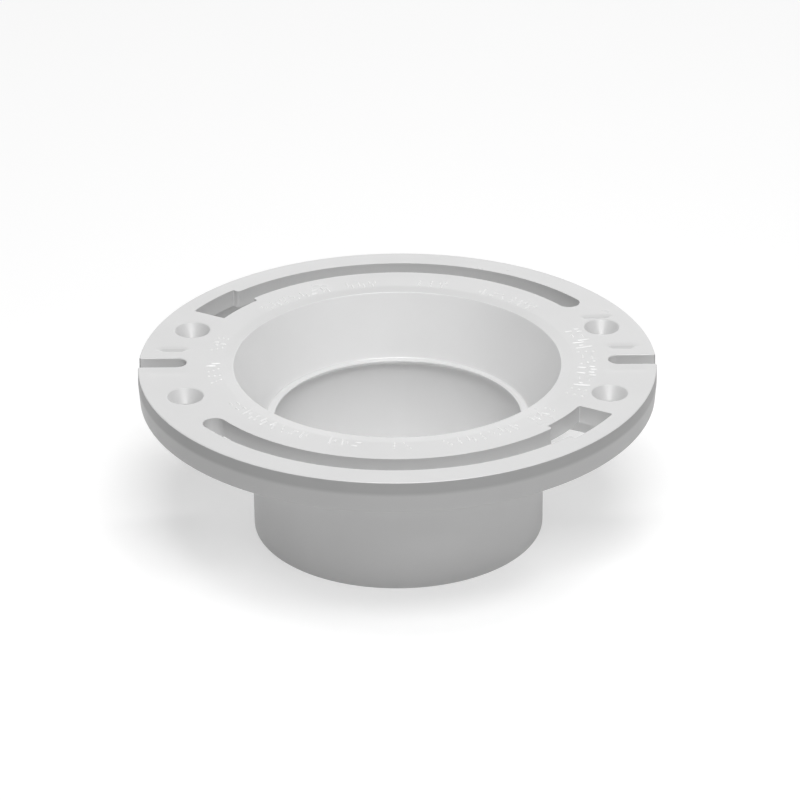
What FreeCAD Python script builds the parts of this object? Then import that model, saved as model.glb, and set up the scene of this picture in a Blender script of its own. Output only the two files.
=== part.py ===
"""Closet (toilet) flange, 4 x 3 in PVC, with a 7 in ring, built with FreeCAD in millimetres.

The real flange is one injection moulding. It is divided here along its own features: the slotted
plate, the funnel, the pipe stop, the socket hub, the two halves of the rim skirt, and the screw
bosses and ribs under the plate. Neighbours meet face to face without overlapping.

Frame: origin at the centre of the hub's bottom face, +Z up the bore, long bolt slots at +Y and -Y,
open bolt slots at +X and -X.
"""
import FreeCAD, Part
import math
import os
from FreeCAD import Vector

# --- ring ---------------------------------------------------------------------------------------
ring_r = 88.9               # 7 in ring
total_h = 61.3              # hub bottom to ring top
rim_h = 11.1                # 7/16 in, ring top to floor plane
plate_t = 6.4               # 1/4 in plate between the rim and the funnel
skirt_wall = 5.0
parting_drop = 4.7          # mould parting line below the ring top, where the rim is widest
top_draft_deg = 1.5         # above the parting line the rim narrows upwards
floor_draft_deg = 4.0       # below it the rim narrows towards the floor
collar_r = 62.0             # where the plate meets the funnel's collar
top_edge_r = 0.5            # rounding of the ring's top edge

# --- bolt slots: 6 in bolt circle, the second slot is the first turned by half a turn -------------
slot_r_in = 72.2
slot_r_out = 80.0
slot_start_deg = 37.0       # centre of the round end
slot_stop_deg = 135.0       # where the slot meets its keyhole
keyhole_r_in = 70.0
keyhole_r_out = 82.4
keyhole_stop_deg = 150.1
step_corner_r = 1.0

# --- open slots -----------------------------------------------------------------------------------
open_slot_w = 6.6
open_slot_tip_r = 72.5      # closed end's distance from the axis

# --- countersunk screw holes, rectangle pattern ---------------------------------------------------
screw_x = 71.4
screw_y = 25.6
screw_hole_r = 2.1
countersink_r = 6.2
countersink_depth = 4.1
boss_r = 6.6

# --- funnel, pipe stop and hub ---------------------------------------------------------------------
mouth_r = 56.2
mouth_bevel_r = 60.4        # outer edge of the shallow bevel round the mouth
mouth_bevel_drop = 0.35
mouth_edge_r = 0.6
hub_r = 50.4                # fits inside a 4 in pipe
socket_r = 44.5             # takes a 3 in pipe, 88.9 mm outside
socket_depth = 38.1         # 1.5 in
stop_r_in = 42.6            # inner edge of the pipe stop
stop_r_out = 45.8           # where the stop meets the funnel wall
stop_top_z = 41.3
stop_edge_z = 39.8          # lower corner of the stop's nose, above the undercut
stop_nose_r = 1.3
collar_fillet_r = 1.8
hub_chamfer = 0.8
hub_edge_r = 0.6

# --- ribs under the plate ---------------------------------------------------------------------------
rib_t = 2.5
rib_offset = 9.3            # ribs beside the open slots, distance from the X axis
rib_round_end_deg = 29.5    # rib between a screw boss and a slot's round end
rib_keyhole_deg = -27.3     # rib between a screw boss and a keyhole

plate_z = total_h - plate_t
floor_z = total_h - rim_h
parting_z = total_h - parting_drop
skirt_r_in = ring_r - skirt_wall
turns = {"right": 0, "left": 180}


def point(radius, angle_deg, z):
    angle = math.radians(angle_deg)
    return Vector(radius * math.cos(angle), radius * math.sin(angle), z)


def arc(radius, start_deg, stop_deg, z):
    middle = (start_deg + stop_deg) / 2
    return Part.Arc(point(radius, start_deg, z), point(radius, middle, z), point(radius, stop_deg, z)).toShape()


def revolve(profile):
    """Closed solid of revolution about Z from (radius, z) points."""
    points = [Vector(radius, 0, z) for radius, z in profile]
    face = Part.Face(Part.makePolygon(points + points[:1]))
    return face.revolve(Vector(0, 0, 0), Vector(0, 0, 1), 360)


def sector(r_in, r_out, start_deg, stop_deg, z_low, height):
    edges = [
        arc(r_in, start_deg, stop_deg, z_low),
        Part.makeLine(point(r_in, stop_deg, z_low), point(r_out, stop_deg, z_low)),
        arc(r_out, start_deg, stop_deg, z_low),
        Part.makeLine(point(r_out, start_deg, z_low), point(r_in, start_deg, z_low)),
    ]
    wire = Part.Wire(Part.__sortEdges__(edges))
    return Part.Face(wire).extrude(Vector(0, 0, height))


def turned(shape, angle_deg):
    copy = shape.copy()
    copy.rotate(Vector(0, 0, 0), Vector(0, 0, 1), angle_deg)
    return copy


def circle_edges(shape, radius, z):
    """Full circular edges of the given radius and height."""
    found = []
    for edge in shape.Edges:
        curve = edge.Curve
        if isinstance(curve, Part.Circle) and abs(curve.Radius - radius) < 0.01 and abs(curve.Center.z - z) < 0.01:
            found.append(edge)
    return found


def upright_edges(shape):
    return [edge for edge in shape.Edges
            if isinstance(edge.Curve, Part.Line) and abs(edge.tangentAt(edge.FirstParameter).z) > 0.99]


def bolt_slot_cutter(z_low, height):
    """Long slot with a round end and a keyhole that lets a bolt head in."""
    middle_r = (slot_r_in + slot_r_out) / 2
    channel = sector(slot_r_in, slot_r_out, slot_start_deg, slot_stop_deg + 1, z_low, height)
    end_r = (slot_r_out - slot_r_in) / 2
    round_end = Part.makeCylinder(end_r, height, point(middle_r, slot_start_deg, z_low))
    keyhole = sector(keyhole_r_in, keyhole_r_out, slot_stop_deg, keyhole_stop_deg, z_low, height)
    cutter = channel.fuse([round_end, keyhole]).removeSplitter()
    corners = [edge for edge in upright_edges(cutter) if is_step_corner(edge)]
    return cutter.makeFillet(step_corner_r, corners)


def is_step_corner(edge):
    """Corners of the steps between slot and keyhole, and not the keyhole's far corners."""
    place = edge.Vertexes[0].Point
    return abs(math.degrees(math.atan2(place.y, place.x)) - slot_stop_deg) < 0.1


def open_slot_cutter(z_low, height):
    """Radial slot along +X, closed by a half circle and open through the rim."""
    half_w = open_slot_w / 2
    centre_x = open_slot_tip_r + half_w
    straight = Part.makeBox(ring_r, open_slot_w, height, Vector(centre_x, -half_w, z_low))
    return straight.fuse(Part.makeCylinder(half_w, height, Vector(centre_x, 0, z_low))).removeSplitter()


def screw_cutter():
    hole = Part.makeCylinder(screw_hole_r, rim_h + 2, Vector(0, 0, floor_z - 1))
    cone = Part.makeCone(screw_hole_r, countersink_r, countersink_depth, Vector(0, 0, total_h - countersink_depth))
    return hole.fuse(cone)


def screw_places():
    return {
        "right_back": (screw_x, screw_y),
        "right_front": (screw_x, -screw_y),
        "left_back": (-screw_x, screw_y),
        "left_front": (-screw_x, -screw_y),
    }


def rim_r(z):
    """Outer radius of the rim, which is widest at the mould parting line."""
    draft_deg = top_draft_deg if z > parting_z else floor_draft_deg
    return ring_r - abs(z - parting_z) * math.tan(math.radians(draft_deg))


def flange_plate():
    """Slotted plate between the funnel's collar and the rim, down to the top of the skirt."""
    plate = revolve([
        (collar_r, plate_z),
        (rim_r(plate_z), plate_z),
        (ring_r, parting_z),
        (rim_r(total_h), total_h),
        (collar_r, total_h),
    ])
    plate = plate.makeFillet(top_edge_r, circle_edges(plate, rim_r(total_h), total_h))
    for angle in turns.values():
        plate = plate.cut(turned(bolt_slot_cutter(plate_z - 1, plate_t + 2), angle))
        plate = plate.cut(turned(open_slot_cutter(plate_z - 1, plate_t + 2), angle))
    for x, y in screw_places().values():
        plate = plate.cut(screw_cutter().translated(Vector(x, y, 0)))
    return plate


def rim_skirt():
    """Full skirt under the plate's edge, before the open slots divide it."""
    return revolve([
        (skirt_r_in, floor_z),
        (rim_r(floor_z), floor_z),
        (rim_r(plate_z), plate_z),
        (skirt_r_in, plate_z),
    ])


def skirt_half(side):
    """Half of the skirt, on the -Y side for "front" and the +Y side for "back"."""
    half_w = open_slot_w / 2
    low_y = -ring_r - 1 if side == "front" else half_w
    room = Part.makeBox(2 * ring_r + 2, ring_r + 1 - half_w, rim_h, Vector(-ring_r - 1, low_y, floor_z))
    return rim_skirt().common(room)


def bowl_funnel():
    """Collar, mouth bevel and tapered funnel wall, down to the socket's inner end."""
    bevel_z = total_h - mouth_bevel_drop
    funnel = revolve([
        (stop_r_out, socket_depth),
        (hub_r, socket_depth),
        (cone_r(plate_z), plate_z),
        (collar_r, plate_z),
        (collar_r, total_h),
        (mouth_bevel_r, total_h),
        (mouth_r, bevel_z),
        (stop_r_out, stop_top_z),
    ])
    funnel = funnel.makeFillet(collar_fillet_r, circle_edges(funnel, cone_r(plate_z), plate_z))
    return funnel.makeFillet(mouth_edge_r, circle_edges(funnel, mouth_r, bevel_z))


def cone_r(z):
    """Radius of the funnel's outside, which is parallel to its inside and meets the hub."""
    slope = (mouth_r - stop_r_out) / (total_h - mouth_bevel_drop - stop_top_z)
    return hub_r + (z - socket_depth) * slope


def pipe_stop_lip():
    """Rounded shelf inside the throat that a 3 in pipe stops against, undercut below its nose."""
    lip = revolve([
        (socket_r, socket_depth),
        (stop_r_out, socket_depth),
        (stop_r_out, stop_top_z),
        (stop_r_in, stop_top_z),
        (stop_r_in, stop_edge_z),
    ])
    return lip.makeFillet(stop_nose_r, circle_edges(lip, stop_r_in, stop_top_z))


def hub_socket():
    """Socket hub: a 3 in pipe goes in from below, and the hub goes inside a 4 in pipe."""
    hub = revolve([
        (socket_r + hub_chamfer, 0),
        (hub_r, 0),
        (hub_r, socket_depth),
        (socket_r, socket_depth),
        (socket_r, hub_chamfer),
    ])
    return hub.makeFillet(hub_edge_r, circle_edges(hub, hub_r, 0))


def screw_boss(x, y):
    """Boss that carries a screw hole down to the floor plane."""
    boss = Part.makeCylinder(boss_r, plate_z - floor_z, Vector(x, y, floor_z))
    return boss.cut(screw_cutter().translated(Vector(x, y, 0)))


def rib(angle_deg, offset, neighbours):
    """Rib from the funnel to the skirt: a wall along X, shifted sideways, then turned about Z."""
    blank = Part.makeBox(ring_r - hub_r, rib_t, plate_z - floor_z, Vector(hub_r, offset - rib_t / 2, floor_z))
    wall = turned(blank, angle_deg)
    for neighbour in neighbours:
        wall = wall.cut(neighbour)
    return max(wall.Solids, key=lambda solid: solid.Volume)


def all_nodes():
    nodes = {
        "flange_plate": flange_plate(),
        "bowl_funnel": bowl_funnel(),
        "pipe_stop_lip": pipe_stop_lip(),
        "hub_socket": hub_socket(),
        "rim_skirt_front": skirt_half("front"),
        "rim_skirt_back": skirt_half("back"),
    }
    for name, (x, y) in screw_places().items():
        nodes["screw_boss_" + name] = screw_boss(x, y)
    neighbours = [bowl_funnel(), rim_skirt()]
    for side, turn in turns.items():
        nodes[side + "_open_slot_rib_a"] = rib(turn, rib_offset, neighbours)
        nodes[side + "_open_slot_rib_b"] = rib(turn, -rib_offset, neighbours)
        nodes[side + "_slot_end_rib"] = rib(turn + rib_round_end_deg, 0, neighbours)
        nodes[side + "_keyhole_rib"] = rib(turn + rib_keyhole_deg, 0, neighbours)
    return nodes


os.makedirs("parts", exist_ok=True)
for node_name, shape in all_nodes().items():
    solid = shape.Solids[0]
    print(node_name, len(shape.Solids), solid.isValid(), round(solid.Volume))
    solid.exportStep("parts/" + node_name + ".step")
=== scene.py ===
import math
import random

import bmesh
import bpy
from mathutils import Matrix, Vector


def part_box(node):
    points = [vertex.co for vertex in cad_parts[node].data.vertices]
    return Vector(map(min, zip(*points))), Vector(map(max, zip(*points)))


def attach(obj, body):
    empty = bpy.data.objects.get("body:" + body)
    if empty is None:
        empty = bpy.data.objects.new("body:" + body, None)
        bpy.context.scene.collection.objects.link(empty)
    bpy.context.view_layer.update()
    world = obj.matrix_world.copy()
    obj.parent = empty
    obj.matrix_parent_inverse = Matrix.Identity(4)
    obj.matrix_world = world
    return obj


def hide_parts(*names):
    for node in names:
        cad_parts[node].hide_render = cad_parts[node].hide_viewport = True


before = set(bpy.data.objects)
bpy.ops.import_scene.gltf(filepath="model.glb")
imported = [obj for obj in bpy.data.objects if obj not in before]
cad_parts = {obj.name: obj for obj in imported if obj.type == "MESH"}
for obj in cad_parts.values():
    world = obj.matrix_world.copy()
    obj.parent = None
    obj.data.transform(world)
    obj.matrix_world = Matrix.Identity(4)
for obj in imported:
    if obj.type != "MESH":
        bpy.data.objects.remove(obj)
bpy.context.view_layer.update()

MM = 0.001


def node_box(node):
    """Lowest and highest corner of a CAD node, in millimetres."""
    low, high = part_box(node)
    return low / MM, high / MM


plate_low, plate_high = node_box("flange_plate")
hub_high = node_box("hub_socket")[1]
boss_low, boss_high = node_box("screw_boss_right_back")

# --- sizes read from the frame -------------------------------------------------------------------
ring_r = plate_high.y
plate_z = plate_low.z
floor_z = node_box("rim_skirt_front")[0].z
collar_r = node_box("bowl_funnel")[1].x
hub_r = hub_high.x
socket_depth = hub_high.z
boss_r = (boss_high.x - boss_low.x) / 2
screw_x = (boss_high.x + boss_low.x) / 2
screw_y = (boss_high.y + boss_low.y) / 2

# --- raised marks: the plain face lies below the CAD top by their height -------------------------
mark_h = 0.25
top = plate_high.z - mark_h

# --- rim -----------------------------------------------------------------------------------------
parting_drop = 4.7          # from the ring's top down to the mould's parting line
parting_z = plate_high.z - parting_drop
top_draft = math.tan(math.radians(1.5))
floor_draft = math.tan(math.radians(4.0))
parting_blend = 0.9         # height over which the two drafts run into each other
blend_steps = 8
rim_edge_r = 0.45
skirt_wall = 5.0
skirt_foot_r = 0.1
flat_strip = 0.05           # flat stretch kept beside each rounded top edge
rim_depth = 0.5             # walls this near the widest circle count as the rim's outer wall

# --- slots and holes -----------------------------------------------------------------------------
slot_r_in = 72.2
slot_r_out = 80.0
slot_start_deg = 37.0
slot_stop_deg = 135.0
keyhole_r_in = 70.0
keyhole_r_out = 82.4
keyhole_stop_deg = 150.1
step_round = 1.2            # how far a corner is cut back, here and below
keyhole_round = 0.7
slot_edge_r = 0.12
slot_draft = 0.12           # how far each slot wall leans into the slot at the bottom
open_slot_w = 6.6
open_slot_tip_r = 72.5
notch_round = 0.9
screw_hole_r = 2.1
countersink_r = 6.2
countersink_depth = 4.1
countersink_edge = [(0.4, 0), (0.15, 0.03), (-0.08, 0.14), (-0.3, 0.34)]    # (inset, drop) pairs
countersink_blend = 0.12    # height of the bend between the cone and the hole

# --- funnel, pipe stop and hub -------------------------------------------------------------------
mouth_bevel_r = 60.4
mouth_bevel_round = 0.5
mouth_bevel_drop = 0.35
mouth_r = 56.2
mouth_round = 0.3
wall_foot_r = 45.7          # where the funnel wall ends and the pipe stop starts
wall_foot_z = 40.0
stop_valley_r = 45.3        # shallow groove between the wall and the stop's rounded crest
stop_valley_z = 39.6
stop_valley_round = 0.4
stop_crest_r = 43.5
stop_crest_z = 40.1
stop_crest_round = 0.5
stop_r_in = 42.6
stop_nose_round = 0.35
stop_edge_z = 39.5          # lower corner of the stop's nose, above the undercut
stop_edge_round = 0.12
socket_r = 44.5
funnel_facing = 0.3         # faces that point this much at the axis, or away from it, are funnel walls
hub_chamfer = 0.8
hub_chamfer_round = 0.3
hub_edge_r = 0.3
collar_fillet_r = 1.8

# --- screw bosses --------------------------------------------------------------------------------
boss_draft = 0.2
boss_hole_round = 0.3
boss_foot_round = 0.4
boss_segments = 96

# --- sink marks in the top face: each is as wide as the first width on its -Y side ---------------
rib_sink_path = [(74.5, 9.3), (80.5, 9.3)]      # over the ribs behind the open slots
rib_sink_depth = 0.48
rib_sink_widths = (0.55, 1.3)
web_sink_path = [(73.0, -8.0), (83.0, -8.0)]    # over the ribs in front of the open slots
web_sink_depth = 0.10
web_sink_widths = (1.3, 1.6)
boss_sink_path = [(66, 33.0), (74, 33.7)]       # behind the screw hole at +X, +Y
boss_sink_depth = 0.3
boss_sink_widths = (0.5, 0.9)
rib_patch = ((69, 86), (4.5, 14))               # X and Y limits of the finely meshed patches
web_patch = ((68, 86), (-13, -4))
boss_patch = ((58, 78), (28, 40))
patch_pitch = 0.4

# --- raised marks: plain strokes in groups round the mouth ---------------------------------------
mark_w = 0.8
mark_dome = ((1.0, -0.1), (1.0, 0.0), (0.7, 0.5), (0.4, 0.9), (0.15, 1.0))  # of half width, of height
mark_pitch = 4.2
mark_length_spread = (0.9, 1.05)
mark_seed = 4
mark_band_r = 63.1
mark_wide_band_r = 65.2
mark_groups = [(112, 140), (96, 110), (73, 86), (40, 66), (161, 175), (180, 198)]
mark_groups += [(208, 244), (248, 263), (267, 275), (283, 311), (314, 326)]
mark_wide_group = (-26, 22)
mark_wide_stretch = 1.45

# --- fineness of the meshes ----------------------------------------------------------------------
outline_step = 0.45
round_steps = 6
turn_segments = 720
sharp_angle = math.radians(32)
weld_distance = 0.01

# --- finish of the moulding: noise scales are per metre, bump distances in metres ----------------
cloud_scale = 38
cloud_shares = (0.985, 1.015)
gloss_scale = 60
gloss_spread = 0.05
wave_scale = 90
wave_distance = 0.0002
grain_scale = 1800
grain_distance = 0.00005
noise_middle = (0.3, 0.7)   # where nearly all of a noise texture's values lie

# --- studio, in metres and watts -----------------------------------------------------------------
floor_half = 3.0
floor_segments = 40
floor_glow = 0.5
floor_whites = (0.56, 0.58)
fibre_scale = 6
world_light = 0.02
world_seen = 0.55


# -------------------------------------------------------------------------------------------------
# Outlines in the XY plane: runs of points joined end to end, with the material to the left
# -------------------------------------------------------------------------------------------------
def polar(radius, angle_deg):
    """Point at a radius and an angle."""
    angle = math.radians(angle_deg)
    return Vector((radius * math.cos(angle), radius * math.sin(angle)))


def arc_run(centre, radius, start_deg, stop_deg):
    """Points along an arc, clockwise if it stops at a smaller angle than it starts."""
    steps = max(round_steps, round(abs(math.radians(stop_deg - start_deg)) * radius / outline_step))
    turn = (stop_deg - start_deg) / steps
    return [centre + polar(radius, start_deg + turn * i) for i in range(steps + 1)]


def line_run(start, stop):
    """Points along a straight line."""
    steps = max(1, round((stop - start).length / outline_step))
    return [start.lerp(stop, i / steps) for i in range(steps + 1)]


def shortened(run, length):
    """The run without its last stretch of the given length."""
    kept = list(run)
    while len(kept) > 2 and (kept[-1] - kept[-2]).length <= length:
        length -= (kept[-1] - kept[-2]).length
        kept.pop()
    kept[-1] = kept[-1] + (kept[-2] - kept[-1]).normalized() * length
    return kept


def bend(start, corner, stop):
    """Points of a smooth bend between two points, without the ends."""
    shares = [i / (round_steps + 2) for i in range(1, round_steps + 2)]
    return [start.lerp(corner, s).lerp(corner.lerp(stop, s), s) for s in shares]


def outline(runs, rounds):
    """Closed outline of runs. rounds[i] is how far the corner at the end of run i is cut back."""
    points = []
    for i, run in enumerate(runs):
        own = shortened(run[::-1], rounds[i - 1])[::-1] if rounds[i - 1] else run
        own = shortened(own, rounds[i]) if rounds[i] else own[:-1]
        points += own
        if rounds[i]:
            following = runs[(i + 1) % len(runs)]
            points += bend(own[-1], run[-1], shortened(following[::-1], rounds[i])[-1])
    return points


def circle(centre, radius):
    """Closed outline of a round hole, clockwise."""
    return arc_run(centre, radius, 0, -360)[:-1]


def turned(points, angle_deg):
    """The points turned about the origin."""
    turn = Matrix.Rotation(math.radians(angle_deg), 2)
    return [turn @ p for p in points]


def bolt_slot_outline():
    """Long slot with a round end and a keyhole, clockwise."""
    centre = Vector((0, 0))
    end_r = (slot_r_out - slot_r_in) / 2
    end_centre = polar(slot_r_in + end_r, slot_start_deg)
    runs = [
        arc_run(centre, slot_r_out, slot_stop_deg, slot_start_deg),
        arc_run(end_centre, end_r, slot_start_deg, slot_start_deg - 180),
        arc_run(centre, slot_r_in, slot_start_deg, slot_stop_deg),
        line_run(polar(slot_r_in, slot_stop_deg), polar(keyhole_r_in, slot_stop_deg)),
        arc_run(centre, keyhole_r_in, slot_stop_deg, keyhole_stop_deg),
        line_run(polar(keyhole_r_in, keyhole_stop_deg), polar(keyhole_r_out, keyhole_stop_deg)),
        arc_run(centre, keyhole_r_out, keyhole_stop_deg, slot_stop_deg),
        line_run(polar(keyhole_r_out, slot_stop_deg), polar(slot_r_out, slot_stop_deg)),
    ]
    step = [step_round, step_round / 2]
    return outline(runs, [0, 0, *step, keyhole_round, keyhole_round, *reversed(step)])


def notch_runs(angle_deg):
    """Walls of one open slot, from the rim in, round the closed end and out again."""
    half_w = open_slot_w / 2
    mouth_x = math.sqrt(ring_r ** 2 - half_w ** 2)
    centre = Vector((open_slot_tip_r + half_w, 0))
    walls = [
        line_run(Vector((mouth_x, -half_w)), Vector((centre.x, -half_w))),
        arc_run(centre, half_w, 270, 90),
        line_run(Vector((centre.x, half_w)), Vector((mouth_x, half_w))),
    ]
    return [turned(run, angle_deg) for run in walls]


def rim_outline():
    """The ring's outer edge with both open slots, anticlockwise."""
    mouth_deg = math.degrees(math.asin(open_slot_w / 2 / ring_r))
    centre = Vector((0, 0))
    runs = notch_runs(0)
    runs.append(arc_run(centre, ring_r, mouth_deg, 180 - mouth_deg))
    runs += notch_runs(180)
    runs.append(arc_run(centre, ring_r, 180 + mouth_deg, 360 - mouth_deg))
    return outline(runs, [0, 0, notch_round, notch_round] * 2)


def skirt_outline(angle_deg):
    """Half of the rim's skirt between the open slots, anticlockwise."""
    inner_r = ring_r - skirt_wall
    outer_deg = math.degrees(math.asin(open_slot_w / 2 / ring_r))
    inner_deg = math.degrees(math.asin(open_slot_w / 2 / inner_r))
    centre = Vector((0, 0))
    runs = [
        arc_run(centre, ring_r, outer_deg, 180 - outer_deg),
        line_run(polar(ring_r, 180 - outer_deg), polar(inner_r, 180 - inner_deg)),
        arc_run(centre, inner_r, 180 - inner_deg, inner_deg),
        line_run(polar(inner_r, inner_deg), polar(ring_r, outer_deg)),
    ]
    return turned(outline(runs, [notch_round] * 4), angle_deg)


# -------------------------------------------------------------------------------------------------
# Sections: (inset into the material, height) down a wall
# -------------------------------------------------------------------------------------------------
def rounded_edge(radius, z, inset=0.0):
    """The flat strip beside a top edge and the edge's rounding."""
    section = [(inset + radius + flat_strip, z)]
    for i in range(round_steps + 1):
        angle = math.pi / 2 * i / round_steps
        section.append((inset + radius * (1 - math.sin(angle)), z - radius * (1 - math.cos(angle))))
    return section


def rim_inset(z):
    """How far the rim lies inside its widest circle: two drafts that meet softly at the parting line."""
    above = (z - parting_z) * top_draft
    below = (parting_z - z) * floor_draft
    share = min(max((z - parting_z) / parting_blend * 0.5 + 0.5, 0), 1)
    soft = share * share * (3 - 2 * share)
    return max(above * soft + below * (1 - soft), 0)


def rim_section():
    """The plate's outer edge, down to the plate's underside."""
    section = rounded_edge(rim_edge_r, top, rim_inset(top))
    heights = [top - rim_edge_r, parting_z + parting_blend]
    heights += [parting_z + parting_blend * (0.5 - i / blend_steps) for i in range(blend_steps + 1)]
    heights += [plate_z]
    return section[:-1] + [(rim_inset(z), z) for z in heights]


def slot_section():
    """Wall of a bolt slot."""
    return rounded_edge(slot_edge_r, top) + [(-slot_draft, plate_z)]


def countersink_section():
    """Soft edge, cone and straight hole of a screw hole."""
    edge_inset = countersink_edge[0][0]
    hole_inset = screw_hole_r - countersink_r
    cone_foot_z = top - countersink_depth
    section = [(edge_inset + flat_strip, top)]
    section += [(inset, top - drop) for inset, drop in countersink_edge]
    section += [(hole_inset + countersink_blend, cone_foot_z + countersink_blend)]
    return section + [(hole_inset, cone_foot_z - countersink_blend), (hole_inset, plate_z)]


def skirt_section():
    """The rim below the plate, with its rounded foot."""
    foot_z = floor_z + skirt_foot_r
    section = [(rim_inset(plate_z), plate_z), (rim_inset(foot_z), foot_z)]
    for i in range(1, round_steps + 1):
        angle = math.pi / 2 * i / round_steps
        inset = rim_inset(floor_z) + skirt_foot_r * (1 - math.cos(angle))
        section.append((inset, foot_z - skirt_foot_r * math.sin(angle)))
    return section


# -------------------------------------------------------------------------------------------------
# Mesh builders
# -------------------------------------------------------------------------------------------------
def wall_normals(loop):
    """Unit vectors out of the material, which lies to the left of the loop."""
    normals = []
    for i in range(len(loop)):
        along = loop[(i + 1) % len(loop)] - loop[i - 1]
        normals.append(Vector((along.y, -along.x)).normalized())
    return normals


def loop_edges(bm, ring):
    """Edges of a closed ring of vertices."""
    return [bm.edges.get((ring[i - 1], ring[i])) for i in range(len(ring))]


def add_wall(bm, loop, section):
    """Wall that follows the section all along the loop. Returns its first and last ring of vertices."""
    normals = wall_normals(loop)
    rings = []
    for inset, z in section:
        flat = [p - n * inset for p, n in zip(loop, normals)]
        rings.append([bm.verts.new((p.x, p.y, z)) for p in flat])
    for upper, lower in zip(rings, rings[1:]):
        for i in range(len(loop)):
            bm.faces.new((upper[i - 1], lower[i - 1], lower[i], upper[i]))
    return rings[0], rings[-1]


def fill(bm, rings, up):
    """Flat face between rings of vertices."""
    edges = [edge for ring in rings for edge in loop_edges(bm, ring)]
    made = bmesh.ops.triangle_fill(bm, use_beauty=True, use_dissolve=False, edges=edges)
    faces = [item for item in made["geom"] if isinstance(item, bmesh.types.BMFace)]
    for face in faces:
        face.normal_update()
        if (face.normal.z > 0) != up:
            face.normal_flip()
    return faces


def swept(loops_and_sections):
    """Closed solid between walls, as a bmesh, and its top faces."""
    bm = bmesh.new()
    tops = []
    bottoms = []
    for loop, section in loops_and_sections:
        first, last = add_wall(bm, loop, section)
        tops.append(first)
        bottoms.append(last)
    top_faces = fill(bm, tops, True)
    fill(bm, bottoms, False)
    return bm, top_faces


def cut_along(bm, faces, place, axis):
    """Cuts faces with a plane across the axis. Returns the faces that come out."""
    edges = {edge for face in faces for edge in face.edges}
    verts = {vert for face in faces for vert in face.verts}
    made = bmesh.ops.bisect_plane(bm, geom=[*verts, *edges, *faces], plane_co=axis * place, plane_no=axis)
    return [item for item in made["geom"] if isinstance(item, bmesh.types.BMFace)]


def cut_into_grid(bm, faces, x_range, y_range, pitch):
    """Cuts the part of flat faces that lies in a rectangle into a square grid. Returns all the faces."""
    sides = ((Vector((1, 0, 0)), x_range), (Vector((0, 1, 0)), y_range))
    kept = []
    for axis, limits in sides:
        for place in limits:
            faces = cut_along(bm, faces, place, axis)
        inside = [f for f in faces if limits[0] < f.calc_center_median().dot(axis) < limits[1]]
        kept += [f for f in faces if f not in set(inside)]
        faces = inside
    for axis, (low, high) in sides:
        for i in range(1, round((high - low) / pitch)):
            faces = cut_along(bm, faces, low + i * pitch, axis)
    return kept + faces


def clean(bm):
    """Welds vertices that nearly coincide, drops slivers and turns all faces outwards."""
    bmesh.ops.remove_doubles(bm, verts=bm.verts, dist=weld_distance)
    bmesh.ops.dissolve_degenerate(bm, edges=bm.edges, dist=weld_distance)
    many_sided = [face for face in bm.faces if len(face.verts) > 4]
    bmesh.ops.triangulate(bm, faces=many_sided)
    bmesh.ops.dissolve_degenerate(bm, edges=bm.edges, dist=weld_distance)
    bmesh.ops.recalc_face_normals(bm, faces=bm.faces)


def piece(name, bm, materials, *nodes):
    """Turns a bmesh in millimetres into a smooth-shaded piece that stands for CAD nodes."""
    clean(bm)
    bmesh.ops.scale(bm, vec=(MM, MM, MM), verts=bm.verts)
    mesh = bpy.data.meshes.new(name)
    bm.to_mesh(mesh)
    bm.free()
    mesh.polygons.foreach_set("use_smooth", [True] * len(mesh.polygons))
    mesh.set_sharp_from_angle(angle=sharp_angle)
    for material in materials:
        mesh.materials.append(material)
    made = bpy.data.objects.new(name, mesh)
    bpy.context.scene.collection.objects.link(made)
    shading = made.modifiers.new("face_shading", "WEIGHTED_NORMAL")
    shading.keep_sharp = True
    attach(made, "root")
    if nodes:
        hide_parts(*nodes)
    return made


def rounded_profile(corners):
    """Closed (radius, height) profile from (radius, height, rounding) corners."""
    points = []
    for i, (r, z, rounding) in enumerate(corners):
        here = Vector((r, z))
        if not rounding:
            points.append(here)
            continue
        before = Vector(corners[i - 1][:2])
        after = Vector(corners[(i + 1) % len(corners)][:2])
        start = here + (before - here).normalized() * rounding
        stop = here + (after - here).normalized() * rounding
        points += [start] + bend(start, here, stop) + [stop]
    return points


def lathe(profile, centre=(0, 0), segments=turn_segments):
    """Solid of revolution about a vertical axis, as a bmesh. The profile is closed."""
    bm = bmesh.new()
    turns = [math.tau * i / segments for i in range(segments)]
    x, y = centre
    rings = []
    for r, z in profile:
        rings.append([bm.verts.new((x + r * math.cos(a), y + r * math.sin(a), z)) for a in turns])
    for first, second in zip(rings, rings[1:] + rings[:1]):
        for i in range(segments):
            bm.faces.new((first[i - 1], second[i - 1], second[i], first[i]))
    bmesh.ops.recalc_face_normals(bm, faces=bm.faces)
    return bm


# -------------------------------------------------------------------------------------------------
# Materials
# -------------------------------------------------------------------------------------------------
def noise_node(nodes, links, place, scale, detail):
    """Noise fixed to the object's own coordinates."""
    texture = nodes.new("ShaderNodeTexNoise")
    texture.inputs["Scale"].default_value = scale
    texture.inputs["Detail"].default_value = detail
    links.new(place.outputs["Object"], texture.inputs["Vector"])
    return texture


def spread(nodes, links, source, low, high):
    """Maps the middle of a noise to the given range."""
    node = nodes.new("ShaderNodeMapRange")
    node.inputs["From Min"].default_value = noise_middle[0]
    node.inputs["From Max"].default_value = noise_middle[1]
    node.inputs["To Min"].default_value = low
    node.inputs["To Max"].default_value = high
    links.new(source.outputs["Fac"], node.inputs["Value"])
    return node


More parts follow.
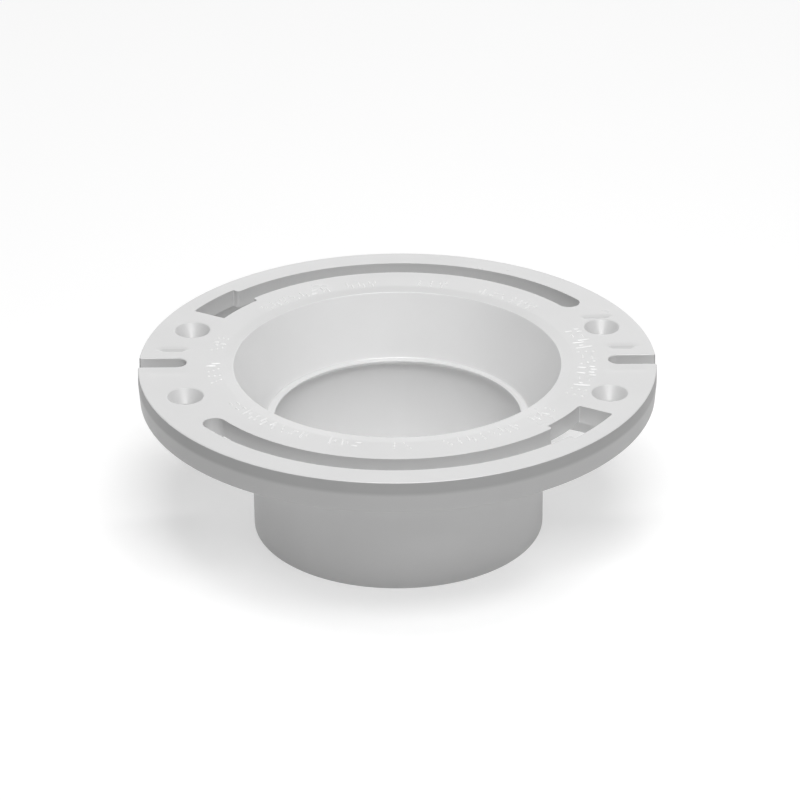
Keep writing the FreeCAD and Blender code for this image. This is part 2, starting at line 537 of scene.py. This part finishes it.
def clouded_white(nodes, links, place, albedo):
    """Colour output of a white with faint clouding."""
    clouds = noise_node(nodes, links, place, cloud_scale, 4)
    colour = nodes.new("ShaderNodeValToRGB")
    for element, position, share in zip(colour.color_ramp.elements, noise_middle, cloud_shares):
        element.position = position
        element.color = (albedo * share, albedo * share, albedo * share, 1)
    links.new(clouds.outputs["Fac"], colour.inputs["Fac"])
    return colour.outputs["Color"]


def painted_shade_band(nodes, links, place, lower, upper):
    """Colour output that changes at the parting line: painted shade, the band above it darker than the
    one below.
    """
    axes = nodes.new("ShaderNodeSeparateXYZ")
    links.new(place.outputs["Object"], axes.inputs["Vector"])
    share = nodes.new("ShaderNodeMapRange")
    share.interpolation_type = "SMOOTHSTEP"
    share.inputs["From Min"].default_value = (parting_z - parting_blend) * MM
    share.inputs["From Max"].default_value = (parting_z + parting_blend) * MM
    links.new(axes.outputs["Z"], share.inputs["Value"])
    mix = nodes.new("ShaderNodeMix")
    mix.data_type = "RGBA"
    links.new(share.outputs["Result"], mix.inputs["Factor"])
    links.new(lower, mix.inputs["A"])
    links.new(upper, mix.inputs["B"])
    return mix.outputs["Result"]


def moulded_pvc(name, albedo, roughness, grain, wave, shaded_upper_albedo=None):
    """White moulded PVC: faint clouding, an uneven gloss, a fine grain and long shallow waves.

    With a shaded upper albedo, the colour changes at the parting line, with painted shade above it.
    """
    material = bpy.data.materials.new(name)
    material.use_nodes = True
    nodes = material.node_tree.nodes
    links = material.node_tree.links
    shader = nodes["Principled BSDF"]
    shader.inputs["IOR"].default_value = 1.53
    place = nodes.new("ShaderNodeTexCoord")

    colour = clouded_white(nodes, links, place, albedo)
    # Painted shade: the darker upper albedo stands for the shade on the rim's top band.
    if shaded_upper_albedo:
        colour = painted_shade_band(nodes, links, place, colour, clouded_white(nodes, links, place, shaded_upper_albedo))
    links.new(colour, shader.inputs["Base Color"])

    gloss = noise_node(nodes, links, place, gloss_scale, 6)
    gloss_range = spread(nodes, links, gloss, roughness - gloss_spread, roughness + gloss_spread)
    links.new(gloss_range.outputs["Result"], shader.inputs["Roughness"])

    long_waves = noise_node(nodes, links, place, wave_scale, 1)
    long_bump = nodes.new("ShaderNodeBump")
    long_bump.inputs["Strength"].default_value = wave
    long_bump.inputs["Distance"].default_value = wave_distance
    links.new(long_waves.outputs["Fac"], long_bump.inputs["Height"])
    fine_grain = noise_node(nodes, links, place, grain_scale, 2)
    fine_bump = nodes.new("ShaderNodeBump")
    fine_bump.inputs["Strength"].default_value = grain
    fine_bump.inputs["Distance"].default_value = grain_distance
    links.new(fine_grain.outputs["Fac"], fine_bump.inputs["Height"])
    links.new(long_bump.outputs["Normal"], fine_bump.inputs["Normal"])
    links.new(fine_bump.outputs["Normal"], shader.inputs["Normal"])
    return material


def floor_paper():
    """Matt white paper that gives off a little light, so that the floor stays near white."""
    material = bpy.data.materials.new("floor_paper")
    material.use_nodes = True
    nodes = material.node_tree.nodes
    links = material.node_tree.links
    shader = nodes["Principled BSDF"]
    shader.inputs["Roughness"].default_value = 0.9
    shader.inputs["Specular IOR Level"].default_value = 0.1
    shader.inputs["Emission Color"].default_value = (1, 1, 1, 1)
    shader.inputs["Emission Strength"].default_value = floor_glow
    place = nodes.new("ShaderNodeTexCoord")
    fibres = noise_node(nodes, links, place, fibre_scale, 3)
    colour = nodes.new("ShaderNodeValToRGB")
    for element, white in zip(colour.color_ramp.elements, floor_whites):
        element.color = (white, white, white, 1)
    links.new(fibres.outputs["Fac"], colour.inputs["Fac"])
    links.new(colour.outputs["Color"], shader.inputs["Base Color"])
    return material


face_pvc = moulded_pvc("pvc_face", 0.70, 0.32, 0.08, 0.25)
# Painted light: the funnel's inner wall lighter than the face.
lit_funnel_pvc = moulded_pvc("pvc_funnel_painted_light", 0.79, 0.36, 0.08, 0.25)
# Painted shade: slot, hole, rib, boss and skirt walls darker than the face.
shaded_wall_pvc = moulded_pvc("pvc_walls_painted_shade", 0.62, 0.40, 0.12, 0.30)
# Painted shade: the hub's and the funnel's outsides, under the plate, darker than the face.
shaded_outer_pvc = moulded_pvc("pvc_outside_painted_shade", 0.58, 0.40, 0.15, 0.40)
# Painted shade: the rim's outer wall darker than the face, and darker still above the parting line.
shaded_rim_pvc = moulded_pvc("pvc_rim_painted_shade", 0.45, 0.40, 0.20, 0.45, shaded_upper_albedo=0.34)
# Painted highlight: the strokes lighter than the face they stand on.
highlit_mark_pvc = moulded_pvc("pvc_marks_painted_highlight", 0.84, 0.32, 0.05, 0.10)


# -------------------------------------------------------------------------------------------------
# Slotted plate
# -------------------------------------------------------------------------------------------------
def offset_from(here, start, stop):
    """Offset of a point from the nearest place on a straight stretch."""
    along = stop - start
    share = min(max((here - start).dot(along) / along.length_squared, 0), 1)
    return here - start - along * share


def hollow(x, y, path, depth, near, far):
    """Depth of a shallow hollow along a path, as wide as near on its -Y side and as far on the other."""
    here = Vector((x, y))
    offsets = [offset_from(here, Vector(a), Vector(b)) for a, b in zip(path, path[1:])]
    closest = min(offsets, key=lambda offset: offset.length)
    width = far if closest.y > 0 else near
    return depth * math.exp(-0.5 * (closest.length / width) ** 2)


def surface_dip(x, y):
    """Depth of the sink marks over the ribs, the same on both sides, and behind one boss."""
    dip = hollow(abs(x), y, rib_sink_path, rib_sink_depth, *rib_sink_widths)
    dip += hollow(abs(x), y, web_sink_path, web_sink_depth, *web_sink_widths)
    return dip + hollow(x, y, boss_sink_path, boss_sink_depth, *boss_sink_widths)


def mirrored(patch):
    """The patch on the other side of the YZ plane."""
    (low, high), y_range = patch
    return (-high, -low), y_range


def paint_walls(bm):
    """Gives the rim's outer wall the second material and the walls of slots and holes the third, both
    darker than the face as painted shade.
    """
    for face in bm.faces:
        middle = face.calc_center_median()
        on_rim = math.hypot(middle.x, middle.y) > ring_r - rim_depth
        if middle.z < top - rim_edge_r / 2:
            face.material_index = 1 if on_rim else 2


def add_plate():
    """Slotted plate with its top face, sink marks and walls."""
    walls = [(rim_outline(), rim_section())]
    for angle in (0, 180):
        walls.append((turned(bolt_slot_outline(), angle), slot_section()))
    for x in (screw_x, -screw_x):
        for y in (screw_y, -screw_y):
            walls.append((circle(Vector((x, y)), countersink_r), countersink_section()))
    walls.append((circle(Vector((0, 0)), collar_r), [(0, top), (0, plate_z)]))
    bm, faces = swept(walls)
    for x_range, y_range in (rib_patch, mirrored(rib_patch), web_patch, mirrored(web_patch), boss_patch):
        faces = cut_into_grid(bm, faces, x_range, y_range, patch_pitch)
    for vert in bm.verts:
        if vert.co.z > top - slot_edge_r:
            vert.co.z -= surface_dip(vert.co.x, vert.co.y)
    paint_walls(bm)
    piece("plate", bm, [face_pvc, shaded_rim_pvc, shaded_wall_pvc], "flange_plate")


def add_skirts():
    """Both halves of the rim below the plate, parted by the open slots."""
    for name, angle in (("back", 0), ("front", 180)):
        bm, _ = swept([(skirt_outline(angle), skirt_section())])
        paint_walls(bm)
        piece("skirt_" + name, bm, [face_pvc, shaded_rim_pvc, shaded_wall_pvc], "rim_skirt_" + name)


# -------------------------------------------------------------------------------------------------
# Turned pieces
# -------------------------------------------------------------------------------------------------
def cone_r(z):
    """Radius of the funnel's outside, which meets the hub at the socket's inner end."""
    slope = (mouth_r - wall_foot_r) / (top - mouth_bevel_drop - wall_foot_z)
    return hub_r + (z - socket_depth) * slope


def add_bowl():
    """Collar, shallow bevel and funnel."""
    profile = rounded_profile([
        (wall_foot_r, wall_foot_z, 0),
        (wall_foot_r, socket_depth, 0),
        (hub_r, socket_depth, 0),
        (cone_r(plate_z), plate_z, collar_fillet_r),
        (collar_r, plate_z, 0),
        (collar_r, top, 0),
        (mouth_bevel_r, top, mouth_bevel_round),
        (mouth_r, top - mouth_bevel_drop, mouth_round),
    ])
    bm = lathe(profile)
    # Painted light on the funnel's inner wall, painted shade on its outside.
    for face in bm.faces:
        middle = face.calc_center_median()
        inwards = -(face.normal.x * middle.x + face.normal.y * middle.y) / math.hypot(middle.x, middle.y)
        if inwards > funnel_facing:
            face.material_index = 1
        elif inwards < -funnel_facing:
            face.material_index = 2
    piece("bowl", bm, [face_pvc, lit_funnel_pvc, shaded_outer_pvc], "bowl_funnel")


def add_pipe_stop():
    """Lip that the pipe pushes up against."""
    profile = rounded_profile([
        (wall_foot_r, wall_foot_z, 0),
        (stop_valley_r, stop_valley_z, stop_valley_round),
        (stop_crest_r, stop_crest_z, stop_crest_round),
        (stop_r_in, stop_crest_z, stop_nose_round),
        (stop_r_in, stop_edge_z, stop_edge_round),
        (socket_r, socket_depth, 0),
        (wall_foot_r, socket_depth, 0),
    ])
    piece("pipe_stop", lathe(profile), [face_pvc], "pipe_stop_lip")


def add_hub():
    """Pipe socket with a chamfered mouth."""
    profile = rounded_profile([
        (socket_r, socket_depth, 0),
        (socket_r, hub_chamfer, hub_chamfer_round),
        (socket_r + hub_chamfer, 0, hub_chamfer_round),
        (hub_r, 0, hub_edge_r),
        (hub_r, socket_depth, 0),
    ])
    bm = lathe(profile)
    # Painted shade on the hub's outer wall, which takes the darker second material.
    for face in bm.faces:
        middle = face.calc_center_median()
        if math.hypot(middle.x, middle.y) > hub_r - hub_edge_r:
            face.material_index = 1
    piece("hub", bm, [face_pvc, shaded_outer_pvc], "hub_socket")


def add_bosses():
    """Tubes below the four screw holes."""
    for side, x in (("right", screw_x), ("left", -screw_x)):
        for end, y in (("back", screw_y), ("front", -screw_y)):
            profile = rounded_profile([
                (screw_hole_r, plate_z, 0),
                (screw_hole_r, floor_z, boss_hole_round),
                (boss_r - boss_draft, floor_z, boss_foot_round),
                (boss_r, plate_z, 0),
            ])
            bm = lathe(profile, (x, y), boss_segments)
            # The bosses take the walls' painted shade.
            piece(f"boss_{side}_{end}", bm, [shaded_wall_pvc], f"screw_boss_{side}_{end}")


def finish_ribs():
    """The ribs keep their CAD meshes and take the walls' material, darker than the face as painted shade.
    """
    for name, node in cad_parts.items():
        if "_rib" in name:
            node.data.materials.clear()
            node.data.materials.append(shaded_wall_pvc)


# -------------------------------------------------------------------------------------------------
# Raised marks: strokes with no meaning, where the moulded marking stands
# -------------------------------------------------------------------------------------------------
def stroke_patterns():
    """Strokes of each pattern, as (along, out) ends in millimetres from the pattern's middle."""
    return [
        [((-0.9, -2.1), (-0.9, 0.4)), ((0.7, -0.6), (0.7, 2.1))],
        [((-1.0, -1.9), (-0.3, 1.9)), ((0.9, -0.9), (1.0, -0.2))],
        [((0, -2.0), (0, -1.8)), ((0, -0.1), (0, 0.1)), ((0, 1.8), (0, 2.0))],
        [((-1.2, 1.2), (0.3, 1.2)), ((-0.3, -1.2), (1.2, -1.2))],
        [((-1.0, -1.8), (-1.0, -1.6)), ((0, -0.1), (0, 0.1)), ((1.0, 1.6), (1.0, 1.8))],
        [((-0.2, -2.1), (-0.9, 0.2)), ((0.4, -0.3), (1.1, 2.1))],
        [((-1.0, 0.9), (-1.0, 2.1)), ((0.1, -2.1), (0.1, -0.5)), ((1.1, 0.6), (1.1, 1.6))],
    ]


def stadium(start, stop, radius):
    """Outline of a stroke with round ends, anticlockwise."""
    heading = math.degrees(math.atan2(stop.y - start.y, stop.x - start.x))
    ends = ((stop, heading - 90), (start, heading + 90))
    points = []
    for centre, first in ends:
        points += [centre + polar(radius, first + 180 * i / round_steps) for i in range(round_steps + 1)]
    return points


def add_stroke(bm, start, stop):
    """Domed stroke between two points of the top face, with its foot a little below the face."""
    rings = []
    for share, height in mark_dome:
        points = stadium(start, stop, mark_w / 2 * share)
        rings.append([bm.verts.new((p.x, p.y, top + mark_h * height)) for p in points])
    for lower, upper in zip(rings, rings[1:]):
        for i in range(len(lower)):
            bm.faces.new((lower[i - 1], lower[i], upper[i], upper[i - 1]))
    bm.faces.new(rings[-1])
    bm.faces.new(rings[0][::-1])


def add_group(bm, chooser, first_deg, last_deg, radius, stretch):
    """Patterns side by side along an arc, each picked and stretched by the seeded chooser."""
    step_deg = math.degrees(mark_pitch / radius)
    for i in range(int((last_deg - first_deg) / step_deg)):
        middle_deg = first_deg + step_deg * (i + 0.5)
        out = polar(1, middle_deg)
        along = polar(1, middle_deg + 90)
        middle = out * radius
        length = stretch * chooser.uniform(*mark_length_spread)
        for stroke in chooser.choice(stroke_patterns()):
            start, stop = [middle + along * u + out * v * length for u, v in stroke]
            add_stroke(bm, start, stop)


def add_marks():
    """All groups of strokes, as one piece."""
    bm = bmesh.new()
    chooser = random.Random(mark_seed)
    for first_deg, last_deg in mark_groups:
        add_group(bm, chooser, first_deg, last_deg, mark_band_r, 1.0)
    add_group(bm, chooser, *mark_wide_group, mark_wide_band_r, mark_wide_stretch)
    piece("raised_marks", bm, [highlit_mark_pvc])


# -------------------------------------------------------------------------------------------------
# Studio
# -------------------------------------------------------------------------------------------------
def add_floor():
    """Sheet of paper under the part, which belongs to the set."""
    bm = bmesh.new()
    bmesh.ops.create_grid(bm, x_segments=floor_segments, y_segments=floor_segments, size=floor_half)
    mesh = bpy.data.meshes.new("floor")
    bm.to_mesh(mesh)
    bm.free()
    mesh.materials.append(floor_paper())
    made = bpy.data.objects.new("floor", mesh)
    bpy.context.scene.collection.objects.link(made)


def add_softbox(name, place, aim, width, height, power):
    """Rectangular area light turned towards a point."""
    data = bpy.data.lights.new(name, "AREA")
    data.shape = "RECTANGLE"
    data.size = width
    data.size_y = height
    data.energy = power
    made = bpy.data.objects.new(name, data)
    made.location = place
    made.rotation_euler = (Vector(aim) - Vector(place)).to_track_quat("-Z", "Y").to_euler()
    bpy.context.scene.collection.objects.link(made)


def add_lights():
    """Large soft light from above, two weak ones in front and one behind."""
    target = (0, 0, top * MM)
    add_softbox("overhead", (0.1, -0.45, 1.45), target, 0.9, 0.9, 23)
    add_softbox("right_front", (1.0, -1.1, 0.45), target, 0.7, 0.7, 1.2)
    add_softbox("left_front", (-1.0, -1.1, 0.45), target, 0.7, 0.7, 0.45)
    add_softbox("backdrop", (0, 1.3, 0.45), target, 1.8, 0.6, 5)


def add_world():
    """White behind the set as the camera sees it, and almost no light from it on the object."""
    world = bpy.data.worlds.new("studio")
    world.use_nodes = True
    nodes = world.node_tree.nodes
    links = world.node_tree.links
    rays = nodes.new("ShaderNodeLightPath")
    strength = nodes.new("ShaderNodeMapRange")
    strength.inputs["To Min"].default_value = world_light
    strength.inputs["To Max"].default_value = world_seen
    links.new(rays.outputs["Is Camera Ray"], strength.inputs["Value"])
    nodes["Background"].inputs["Color"].default_value = (1, 1, 1, 1)
    links.new(strength.outputs["Result"], nodes["Background"].inputs["Strength"])
    bpy.context.scene.world = world


def add_camera():
    """Camera in front of the part and above it, looking down on it."""
    distance = 1.25
    height_deg = 26.235
    pitch_deg = 26.862
    yaw_deg = 0.042
    roll_deg = -0.42
    lens_mm = 164.1
    sensor_mm = 36
    data = bpy.data.cameras.new("camera")
    data.lens = lens_mm
    data.sensor_width = sensor_mm
    made = bpy.data.objects.new("camera", data)
    height = math.radians(height_deg)
    back = Vector((0, -math.cos(height), math.sin(height))) * distance
    place = Matrix.Translation(Vector((0, 0, plate_high.z * MM)) + back)
    yaw = Matrix.Rotation(math.radians(-yaw_deg), 4, "Z")
    pitch = Matrix.Rotation(math.radians(90 - pitch_deg), 4, "X")
    roll = Matrix.Rotation(math.radians(roll_deg), 4, "Z")
    made.matrix_world = place @ yaw @ pitch @ roll
    bpy.context.scene.collection.objects.link(made)
    bpy.context.scene.camera = made


add_plate()
add_skirts()
add_bowl()
add_pipe_stop()
add_hub()
add_bosses()
add_marks()
finish_ribs()
add_floor()
add_lights()
add_world()
add_camera()
bpy.context.scene.view_settings.view_transform = "Standard"
